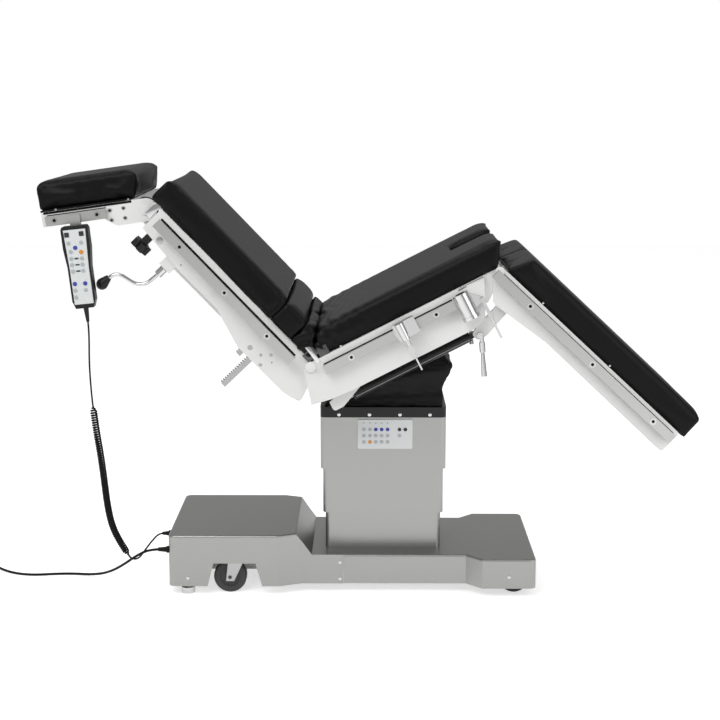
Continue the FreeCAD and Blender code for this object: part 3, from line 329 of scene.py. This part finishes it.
def sampled(route):
    """Points along a route's own smooth curve."""
    line = bpy.data.curves.new("sample", "CURVE")
    line.dimensions = "3D"
    line.resolution_u = 24
    spline = line.splines.new("NURBS")
    spline.points.add(len(route) - 1)
    for control, spot in zip(spline.points, route):
        control.co = (*spot, 1)
    spline.order_u = 3
    spline.use_endpoint_u = True
    holder = bpy.data.objects.new("sample", line)
    bpy.context.scene.collection.objects.link(holder)
    bpy.context.view_layer.update()
    flat = bpy.data.meshes.new_from_object(holder.evaluated_get(bpy.context.evaluated_depsgraph_get()))
    spots = [v.co.copy() for v in flat.vertices]
    bpy.data.objects.remove(holder)
    return spots


def helix(route, turns, radius, steps):
    """Control points of a coil wound around a route."""
    line = sampled(route)
    lengths = [0.0]
    for a, b in zip(line, line[1:]):
        lengths.append(lengths[-1] + (b - a).length)
    total, side, made = lengths[-1], None, []
    count = turns * steps
    for i in range(count + 1):
        want = total * i / count
        k = max(j for j in range(len(lengths)) if lengths[j] <= want + 1e-9)
        k = min(k, len(line) - 2)
        share = (want - lengths[k]) / (lengths[k + 1] - lengths[k])
        spot = line[k].lerp(line[k + 1], share)
        along = (line[k + 1] - line[k]).normalized()
        side = Vector((0, 1, 0)) if side is None else side
        side = (side - along * side.dot(along)).normalized()
        other = along.cross(side)
        ease = min(1.0, i / (2 * steps), (count - i) / (2 * steps))
        angle = math.tau * i / steps
        made.append(tuple(spot + (side * math.cos(angle) + other * math.sin(angle)) * radius * ease))
    return made


def coil_turns(centre, middle, wire, start, turns, steps=16, height=0.011):
    """Turns of a round coil, packed around the middle one, each a wire's width from the next."""
    half, rise = wire / 2, wire * math.sin(math.radians(60))
    seats = [(wire, 0), (half, -rise), (-half, -rise), (-wire, 0), (0, 0), (half, rise), (-half, rise)]
    made = []
    for i in range(turns * steps):
        turn = i / steps
        k = int(turn)
        share = turn - k
        this, other = seats[k], seats[min(k + 1, turns - 1)]
        r = middle + this[0] * (1 - share) + other[0] * share
        z = height + this[1] * (1 - share) + other[1] * share
        angle = start + math.tau * turn
        made.append((centre[0] + r * math.cos(angle), centre[1] + r * math.sin(angle), z))
    return made


# %% [markdown]
# The mains cord lies on the floor. What the picture doesn't show of it is wound into a round
# coil, a turn's width from turn to turn, and ends at the plug.

# %% The two cords
mains_wire, handset_wire = 0.0070, 0.0048
coil_centre, coil_radius, coil_count = (-1.128, 0.040), 0.040, 7
coil_start = math.radians(-10)
points_left_off_for_tail = 6
plug_tail = (-1.168, 0.052, 0.019)
coil = coil_turns(coil_centre, coil_radius, mains_wire, coil_start, coil_count)
mains_points = mains_route + coil[:-points_left_off_for_tail] + [plug_tail]
mains_cord = curve_piece("mains_lead", mains_points, mains_wire / 2, rubber, "base")
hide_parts("mains_cord", "mains_coil")

curl_turns, curl_radius, curl_steps = 68, 0.0075, 12
curl = helix(curl_route, curl_turns, curl_radius, curl_steps)
handset_points = lead_top[:-1] + curl + lead_end[1:]
handset_cord = curve_piece("handset_cord", handset_points, handset_wire / 2, rubber, "base",
                           resolution=3)
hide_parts("handset_curl", "handset_lead")
print("points of the mains cord:", len(mains_points), "of the handset cord:", len(handset_points))

# %% [markdown]
# ## Pads
#
# A pad is foam on a board under a tight cover of coated fabric. A bevelled box would look like
# a block, so each pad starts from its CAD solid, is rebuilt as an even mesh with rounded edges,
# and is puffed a little as cloth, which leaves small folds. Then its top is crowned, as foam
# stands highest in its middle, and near the hip the cover folds up where it is bent.

# %% Meshes from CAD solids


def node_copy(name, names):
    """One mesh with the solids of some CAD nodes."""
    shape = bmesh.new()
    for node in names:
        shape.from_mesh(nodes[node].data)
    bmesh.ops.remove_doubles(shape, verts=shape.verts, dist=1e-6)
    mesh_data = bpy.data.meshes.new(name)
    shape.to_mesh(mesh_data)
    shape.free()
    made = bpy.data.objects.new(name, mesh_data)
    bpy.context.scene.collection.objects.link(made)
    return made


def apply_all(made):
    """Replace the mesh by its evaluated shape and drop the modifiers."""
    bpy.context.view_layer.update()
    source = made.evaluated_get(bpy.context.evaluated_depsgraph_get())
    mesh_data = bpy.data.meshes.new_from_object(source)
    made.modifiers.clear()
    made.data = mesh_data
    return made


def remesh(made, size, smooth):
    step = made.modifiers.new("remesh", "REMESH")
    step.mode = "VOXEL"
    step.voxel_size = size
    step.use_smooth_shade = True
    soften = made.modifiers.new("soften", "SMOOTH")
    soften.factor = 0.5
    soften.iterations = smooth
    return apply_all(made)


# %% Cloth, folds and crown


def puff(made, pressure, cap, last_frame=20):
    """Cloth with a little inner pressure, with each point's movement capped."""
    before = np.empty(len(made.data.vertices) * 3)
    made.data.vertices.foreach_get("co", before)
    scene = bpy.context.scene
    scene.gravity = (0, 0, 0)
    scene.frame_start, scene.frame_end = 1, last_frame
    cloth = made.modifiers.new("cloth", "CLOTH")
    cloth.settings.quality = 4
    cloth.settings.mass = 0.25
    cloth.settings.tension_stiffness = 12
    cloth.settings.compression_stiffness = 12
    cloth.settings.bending_stiffness = 0.4
    cloth.settings.use_pressure = True
    cloth.settings.uniform_pressure_force = pressure
    cloth.settings.shrink_min = -0.03
    cloth.collision_settings.use_collision = False
    cloth.point_cache.frame_start, cloth.point_cache.frame_end = 1, last_frame
    for number in range(1, last_frame + 1):
        scene.frame_set(number)
    apply_all(made)
    scene.frame_set(1)
    after = np.empty(len(made.data.vertices) * 3)
    made.data.vertices.foreach_get("co", after)
    move = (after - before).reshape(-1, 3)
    length = np.linalg.norm(move, axis=1)
    keep = np.minimum(1.0, cap / np.maximum(length, 1e-9))
    made.data.vertices.foreach_set("co", (before.reshape(-1, 3) + move * keep[:, None]).ravel())
    made.data.update()
    return made


fold = seat.translation


def points_and_normals(made):
    """Arrays of a mesh's points and of their normals."""
    count = len(made.data.vertices)
    spots, normals = np.empty(count * 3), np.empty(count * 3)
    made.data.vertices.foreach_get("co", spots)
    made.data.vertices.foreach_get("normal", normals)
    return spots.reshape(-1, 3), normals.reshape(-1, 3)


def set_points(made, spots):
    made.data.vertices.foreach_set("co", spots.ravel())
    made.data.update()


def crease(made, depth, reach, full_until=0.07):
    """Folds of the cover near the bend between the seat and the back, fading away from it."""
    spots, normals = points_and_normals(made)
    x, y, z = spots.T
    away = np.hypot(x - fold.x, z - fold.z)
    wave = np.sin(math.tau * away / 0.031 + 2.5 * np.sin(y * 23) + z * 30)
    small = np.sin(math.tau * away / 0.013 + 4 * np.sin(y * 41))
    share = depth * np.exp(-np.maximum(0.0, away - full_until) / reach)
    set_points(made, spots + normals * (share * (0.75 * wave + 0.25 * small))[:, None])


crown_height = 0.008
crown_rims = (0.035, 0.045)


def crown(made, place, height, clear=(0.0, 0.0)):
    """Raise the top of a pad towards its middle, as foam under a tight cover stands."""
    turn = np.array(place.to_3x3())
    spots, normals = points_and_normals(made)
    local = (spots - np.array(place.translation)) @ turn
    up = (normals @ turn)[:, 2]
    low, high = local.min(axis=0), local.max(axis=0)
    low[0], high[0] = low[0] + clear[0], high[0] - clear[1]
    inside = []
    for axis, rim in enumerate(crown_rims):
        edge = np.minimum(local[:, axis] - low[axis], high[axis] - local[:, axis])
        share = np.clip(edge / rim, 0, 1)
        inside.append(share * (2 - share))
    facing_up = np.clip((up - 0.2) / 0.5, 0, 1)
    share = facing_up * inside[0] * inside[1]
    set_points(made, spots + turn[:, 2] * (height * share)[:, None])


def stuffed(name, names, body, place, size=0.006, creased=0.0, clear=(0.0, 0.0)):
    made = remesh(node_copy(name, names), size, 5)
    puff(made, 4.0, 0.003)
    crown(made, place, crown_height, clear)
    if creased:
        crease(made, creased, 0.06)
    for polygon in made.data.polygons:
        polygon.use_smooth = True
    made.data.materials.clear()
    made.data.materials.append(leatherette)
    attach(made, body)
    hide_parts(*names)
    return made


# %% The pads
stuffed("head_cushion", ["head_pad"], "head", head)
stuffed("back_cushion", ["back_pad"], "back", back, creased=0.004, clear=(0.0, 0.03))
stuffed("kidney_cushion", ["kidney_pad"], "kidney", back)
stuffed("seat_cushion", ["seat_pad"], "seat", seat, creased=0.004, clear=(0.03, 0.0))
stuffed("leg_cushion_near", ["leg_pad_near"], "leg_near", leg)
stuffed("leg_cushion_far", ["leg_pad_far"], "leg_far", leg)

# %% [markdown]
# ## Sleeve
#
# The gap between the column and the moving top is closed by a soft rubber sleeve. Cloth would
# need the whole top as a collider, so its loose folds are waves pressed into the CAD solid.

# %% The sleeve with its folds
sleeve_middle_x, fold_depth, fold_count = 0.05, 0.0016, 9
sleeve = remesh(node_copy("gaiter_sleeve", ["gaiter"]), 0.005, 6)
spots, normals = points_and_normals(sleeve)
turn = np.arctan2(spots[:, 1], spots[:, 0] - sleeve_middle_x)
folds = 1 + np.sin(fold_count * turn + 60 * spots[:, 2]) * np.sin(140 * spots[:, 2])
set_points(sleeve, spots - normals * (fold_depth * folds)[:, None])
for polygon in sleeve.data.polygons:
    polygon.use_smooth = True
sleeve.data.materials.clear()
sleeve.data.materials.append(rubber)
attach(sleeve, "column_upper")
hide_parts("gaiter")
print("faces of the sleeve:", len(sleeve.data.polygons))

# %% [markdown]
# ## Screws, buttons and small fittings
#
# The accessory rails are held by countersunk screws: a bright ring around a dark socket. On the
# real rail they are sunk, but a boolean for each would break up the frame's clean faces, so
# each one is a ring less than a millimetre proud with a darker, smaller disc on it. That disc is
# painted shade: the socket is not cut, so the shade inside it is painted.

# %% Screws of the rails
near, far = -1, 1
rail_face, head_rail_face = 0.289, 0.240


def rail_screws(name, place, xs, z, y, body, sides=(near, far)):
    ring_radius, ring_height, socket_radius, socket_height = 0.0085, 0.0008, 0.0042, 0.0004
    for side in sides:
        label = "near" if side < 0 else "far"
        face = [(x, side * y, z) for x in xs]
        discs(f"{name}_ring_{label}", face, place, ring_radius, ring_height, (0, side, 0), chrome,
              body)
        # Painted shade: a near-black disc stands for the shade inside each screw's socket.
        inner = [(x, side * (y + ring_height), z) for x in xs]
        discs(f"{name}_socket_{label}", inner, place, socket_radius, socket_height, (0, side, 0), shade_and_seam_black,
              body)


rail_screws("seat_rail_screw", seat, (0.108, 0.352), -0.0215, rail_face, "seat")
rail_screws("back_rail_screw", back, (-0.455, -0.293, -0.138), -0.0215, rail_face, "back")
rail_screws("head_rail_screw", head, (-0.233, -0.122), 0.0065, head_rail_face, "head")
leg_posts, leg_rail_middle = (0.115, 0.337, 0.557), -0.0105
rail_screws("leg_rail_screw_near", leg, leg_posts, leg_rail_middle, rail_face, "leg_near", (near,))
rail_screws("leg_rail_screw_far", leg, leg_posts, leg_rail_middle, rail_face, "leg_far", (far,))

# %% [markdown]
# The table is the same on both sides, so strips and rivets are written once for the far side and
# repeated on the near one. The dark strips are painted shade: they stand for the shaded gap between
# a rail and its plate.

# %% Strips and links on both sides


def side_boxes(boxes, side):
    """Boxes given for the far side, or the same boxes on the near side."""
    if side > 0:
        return boxes
    return [((a[0], -b[1], a[2]), (b[0], -a[1], b[2])) for a, b in boxes]


def side_trim(name, boxes, place, material, body, bevel=0.0):
    for side, label in ((near, "near"), (far, "far")):
        on = f"{body}_{label}" if body == "leg" else body
        blocks(f"{name}_{label}", side_boxes(boxes, side), place, material, on, bevel)


side_face, back_face, head_face, strut_face = 0.265, 0.2524, 0.222, 0.2238  # from the middle plane
strip = 0.0006
# Painted shade: near-black strips on the plates behind the rails stand for the shade in the gap under each
# rail.
side_trim("seat_rail_gap_shade", [((0.033, side_face, -0.033), (0.404, side_face + strip, -0.0075))],
          seat, shade_and_seam_black, "seat")
side_trim("back_rail_gap_shade", [((-0.538, back_face, -0.033), (-0.048, back_face + strip, -0.0075))],
          back, shade_and_seam_black, "back")
side_trim("leg_rail_gap_shade", [((0.010, side_face, -0.022), (0.624, side_face + strip, 0.0035))],
          leg, shade_and_seam_black, "leg")
side_trim("head_rail_gap_shade", [((-0.254, head_face, -0.005), (-0.100, head_face + strip, 0.021))],
          head, shade_and_seam_black, "head")
side_trim("seat_end_strip", [((0.430, side_face, 0.0035), (0.503, side_face + 2 * strip, 0.0095))],
          seat, chrome, "seat", 0.0003)
# Painted highlight: a pale grey line along the black gas spring stands for the light it reflects.
side_trim("strut_painted_highlight", [((0.066, strut_face, -0.1318), (0.400, strut_face + 0.0005, -0.1298))],
          seat, strut_highlight_grey, "seat")
side_trim("head_groove", [((-0.262, head_face, 0.0235), (-0.032, head_face + strip, 0.0295))],
          head, shade_and_seam_black, "head")
leaning = seat @ Matrix.Rotation(math.radians(-9), 4, "Y")
side_trim("hip_link", [((0.0185, 0.2634, -0.004), (0.0305, 0.2665, 0.056))],
          leaning, chrome, "seat", 0.0014)
side_trim("hip_sheet_seat", [((0.034, 0.2632, 0.002), (0.062, 0.2642, 0.036))],
          seat, dark_sheet, "seat", 0.0003)
side_trim("hip_sheet_back", [((-0.036, 0.2632, 0.004), (-0.012, 0.2642, 0.040))],
          back, dark_sheet, "back", 0.0003)
side_trim("neck_bar", [((-0.578, back_face, -0.030), (-0.560, back_face + 0.0036, 0.012))],
          back, chrome, "back", 0.001)

# %% Round heads on both sides


def both_discs(name, spots, place, radius, height, material, body, bevel=0.0):
    """The same round heads on the near and the far side; each spot is X, distance from the middle, Z."""
    for side, label in ((near, "near"), (far, "far")):
        on = f"{body}_{label}" if body == "leg" else body
        placed = [(x, side * y, z) for x, y, z in spots]
        discs(f"{name}_{label}", placed, place, radius, height, (0, side, 0), material, on, bevel)


neck_screws = [(-0.0904, head_face, 0.011), (-0.0551, head_face, 0.012),
               (-0.090, head_face, -0.0145), (-0.0545, head_face, -0.0135)]
neck_sockets = [(x, y + 0.001, z) for x, y, z in neck_screws]
both_discs("neck_screw", neck_screws, head, 0.0058, 0.001, zinc, "head", 0.0003)
# Painted shade: near-black discs stand for the shade inside the sockets of the neck screws.
both_discs("neck_screw_socket", neck_sockets, head, 0.003, 0.0003, shade_and_seam_black, "head")
both_discs("neck_pin", [(0, 0.224, 0)], head, 0.0135, 0.0012, paint, "head", 0.0004)
# Painted shade: a thin near-black disc behind the neck hinge stands for the shade in the gap between the head
# and back frames.
both_discs("neck_gap_shade", [(-0.5843, 0.2095, -0.0283)], back, 0.033, 0.0003, shade_and_seam_black, "back")
both_discs("head_board_rivet", [(-0.2295, 0.216, 0.0322), (-0.040, 0.216, 0.0322)],
           head, 0.003, 0.0008, chrome, "head")
both_discs("hip_pin", [(0, 0.268, 0)], seat, 0.014, 0.002, paint, "seat", 0.0006)
both_discs("knee_cap", [(0.546, 0.266, 0)], seat, 0.0125, 0.0018, paint, "seat", 0.0006)
both_discs("neck_lock_bolt", [(-0.5027, back_face, -0.052)],
           back, 0.009, 0.0015, zinc, "back", 0.0005)
both_discs("gusset_bolt", [(-0.1103, back_face, -0.074), (-0.092, back_face, -0.0548),
                           (-0.0921, back_face, -0.0929)],
           back, 0.0042, 0.0012, zinc, "back", 0.0004)
both_discs("gusset_dot", [(-0.0768, back_face, -0.0668), (-0.420, back_face, -0.0574)],
           back, 0.0016, 0.0005, shade_and_seam_black, "back")
both_discs("seat_board_rivet", [(0.095, 0.263, 0.0135)],
           seat, 0.0028, 0.0012, chrome, "seat", 0.0004)
both_discs("leg_board_rivet", [(0.1375, 0.263, 0.0168), (0.378, 0.263, 0.0168)],
           leg, 0.0028, 0.0012, chrome, "leg", 0.0004)

# %% Screws of the base covers


def cover_screws(name, spots):
    both_discs(name, spots, world_frame, 0.0045, 0.001, chrome, "base", 0.0003)


cover_screws("head_box_screw", [(-0.489, 0.205, 0.048)])
cover_screws("waist_screw", [(-0.0777, 0.180, 0.085), (-0.0777, 0.180, 0.0385)])
cover_screws("foot_box_screw", [(0.378, 0.220, 0.057)])

# %% [markdown]
# The keys of the panel and of the handset are domed caps under a film. Their colours tell them
# apart, so each colour is one piece with a row of low, round caps.

# %% Keys of the control panel
panel_y = -0.130  # the front of the panel's film


def keys(name, spots, place, radius, y, body, colour):
    face = [(x, y, z) for x, z in spots]
    return discs(name, face, place, radius, 0.0012, (0, -1, 0), key_colours[colour], body, 0.0004)


top_row, middle_row, low_row, lamp_row = 0.4438, 0.4266, 0.4094, 0.4616
columns = [-0.0129, 0.0034, 0.0191, 0.0350, 0.0510, 0.0832, 0.0991]
panel_key = 0.0050
keys("panel_keys_grey", [(c, top_row) for c in columns[:2]] + [(c, middle_row) for c in columns[:6]]
     + [(c, low_row) for c in (columns[0], *columns[2:5])],
     world_frame, panel_key, panel_y, "column_upper", "grey")
keys("panel_keys_blue", [(c, top_row) for c in columns[2:5]], world_frame, panel_key, panel_y,
     "column_upper", "blue")
keys("panel_keys_black", [(c, top_row) for c in columns[5:]], world_frame, panel_key, panel_y,
     "column_upper", "black")
keys("panel_key_orange", [(columns[1], low_row)], world_frame, panel_key, panel_y,
     "column_upper", "orange")
keys("panel_lamps", [(c, lamp_row) for c in columns[:5]], world_frame, 0.0016, panel_y,
     "column_upper", "white")
rim_face, rim_middle = -0.125, 0.4838
discs("rim_screws", [(x, rim_face, rim_middle) for x in (-0.0805, 0.002, 0.0844, 0.1655)],
      world_frame, 0.0048, 0.0015, (0, -1, 0), chrome, "column_upper", 0.0005)

# %% Keys of the handset
hand_y = -0.2745  # the front of the keypad's film
keys("handset_keys_grey", [(-0.0186, -0.0432), (0.0139, -0.0441), (-0.0153, -0.0654), (-0.0165, -0.0826),
                           (0.0104, -0.0841), (-0.0167, -0.0988), (0.0097, -0.100), (-0.0167, -0.1153),
                           (0.0095, -0.116), (-0.0177, -0.1647), (0.0093, -0.1662), (-0.0181, -0.1823)],
     handset, 0.0052, hand_y, "head", "grey")
keys("handset_keys_blue", [(-0.0029, -0.0559), (-0.0167, -0.1479), (0.0099, -0.1489)],
     handset, 0.0056, hand_y, "head", "blue")
keys("handset_key_orange", [(0.0108, -0.0682)], handset, 0.0056, hand_y, "head", "orange")
blocks("handset_keys_black", [((x - 0.006, hand_y - 0.0012, -0.0275), (x + 0.006, hand_y, -0.0155))
                              for x in (-0.0205, 0.0172)], handset, key_colours["black"], "head",
       0.001)
blocks("handset_key_bars", [((-0.0085, hand_y - 0.0008, z - 0.0018), (0.0020, hand_y, z + 0.0018))
                            for z in (-0.0834, -0.0995, -0.1157)], handset, key_colours["black"], "head")

# %% [markdown]
# ## Floor, light and camera
#
# The table stands on white ground. A bright lamp could burn the floor out to white, but it would
# burn the white frames out too. So the ground glows only for rays from the camera and for
# reflections, and the lamps stay at the level that shows each colour as it is.

# %% Floor, lamps, world and camera


def make_floor():
    shape = bpy.data.meshes.new("floor")
    shape.from_pydata([(-9, -9, 0), (9, -9, 0), (9, 9, 0), (-9, 9, 0)], [], [(0, 1, 2, 3)])
    made = bpy.data.objects.new("floor", shape)
    bpy.context.scene.collection.objects.link(made)
    plain = make_material("floor_white", (0.80, 0.80, 0.80), 0.9, specular=0.0)
    tree = plain.node_tree
    shader = tree.nodes["Principled BSDF"]
    path = tree.nodes.new("ShaderNodeLightPath")
    glow = tree.nodes.new("ShaderNodeEmission")
    glow.inputs["Strength"].default_value = 0.62
    mix = tree.nodes.new("ShaderNodeAddShader")
    choose = tree.nodes.new("ShaderNodeMixShader")
    seen = tree.nodes.new("ShaderNodeMath")
    seen.operation = "MAXIMUM"
    tree.links.new(path.outputs["Is Camera Ray"], seen.inputs[0])
    tree.links.new(path.outputs["Is Glossy Ray"], seen.inputs[1])
    tree.links.new(shader.outputs[0], mix.inputs[0])
    tree.links.new(glow.outputs[0], mix.inputs[1])
    tree.links.new(seen.outputs[0], choose.inputs["Fac"])
    tree.links.new(shader.outputs[0], choose.inputs[1])
    tree.links.new(mix.outputs[0], choose.inputs[2])
    tree.links.new(choose.outputs[0], tree.nodes["Material Output"].inputs["Surface"])
    made.data.materials.append(plain)


def make_lamp(name, spot, target, size, power):
    lamp = bpy.data.lights.new(name, "AREA")
    lamp.shape = "RECTANGLE"
    lamp.size, lamp.size_y = size
    lamp.energy = power
    made = bpy.data.objects.new(name, lamp)
    made.location = spot
    made.rotation_euler = (Vector(target) - Vector(spot)).to_track_quat("-Z", "Y").to_euler()
    bpy.context.scene.collection.objects.link(made)


def make_world():
    surround = bpy.data.worlds.new("surround")
    surround.use_nodes = True
    tree = surround.node_tree
    soft = tree.nodes["Background"]
    soft.inputs["Color"].default_value = (1, 1, 1, 1)
    soft.inputs["Strength"].default_value = 0.45
    white = tree.nodes.new("ShaderNodeBackground")
    white.inputs["Color"].default_value = (1, 1, 1, 1)
    path = tree.nodes.new("ShaderNodeLightPath")
    choose = tree.nodes.new("ShaderNodeMixShader")
    tree.links.new(path.outputs["Is Camera Ray"], choose.inputs["Fac"])
    tree.links.new(soft.outputs[0], choose.inputs[1])
    tree.links.new(white.outputs[0], choose.inputs[2])
    tree.links.new(choose.outputs[0], tree.nodes["World Output"].inputs["Surface"])
    bpy.context.scene.world = surround


def make_camera():
    eye = bpy.data.cameras.new("camera")
    eye.lens = 73.382
    eye.sensor_width = 36
    made = bpy.data.objects.new("camera", eye)
    made.location = (0, -4.0, 1.349)
    made.rotation_euler = (math.radians(90 - 10.457), 0, math.radians(0.35))
    bpy.context.scene.collection.objects.link(made)
    bpy.context.scene.camera = made


make_floor()
make_lamp("key", (-1.6, -2.6, 3.4), (0, 0, 0.5), (2.6, 1.8), 62)
make_lamp("fill", (2.6, -2.2, 1.8), (0.1, 0, 0.6), (2.2, 2.2), 26)
make_lamp("top", (0.2, 0.6, 3.6), (0, 0, 0.4), (3.0, 2.4), 40)
make_world()
make_camera()
bpy.context.scene.view_settings.view_transform = "Standard"
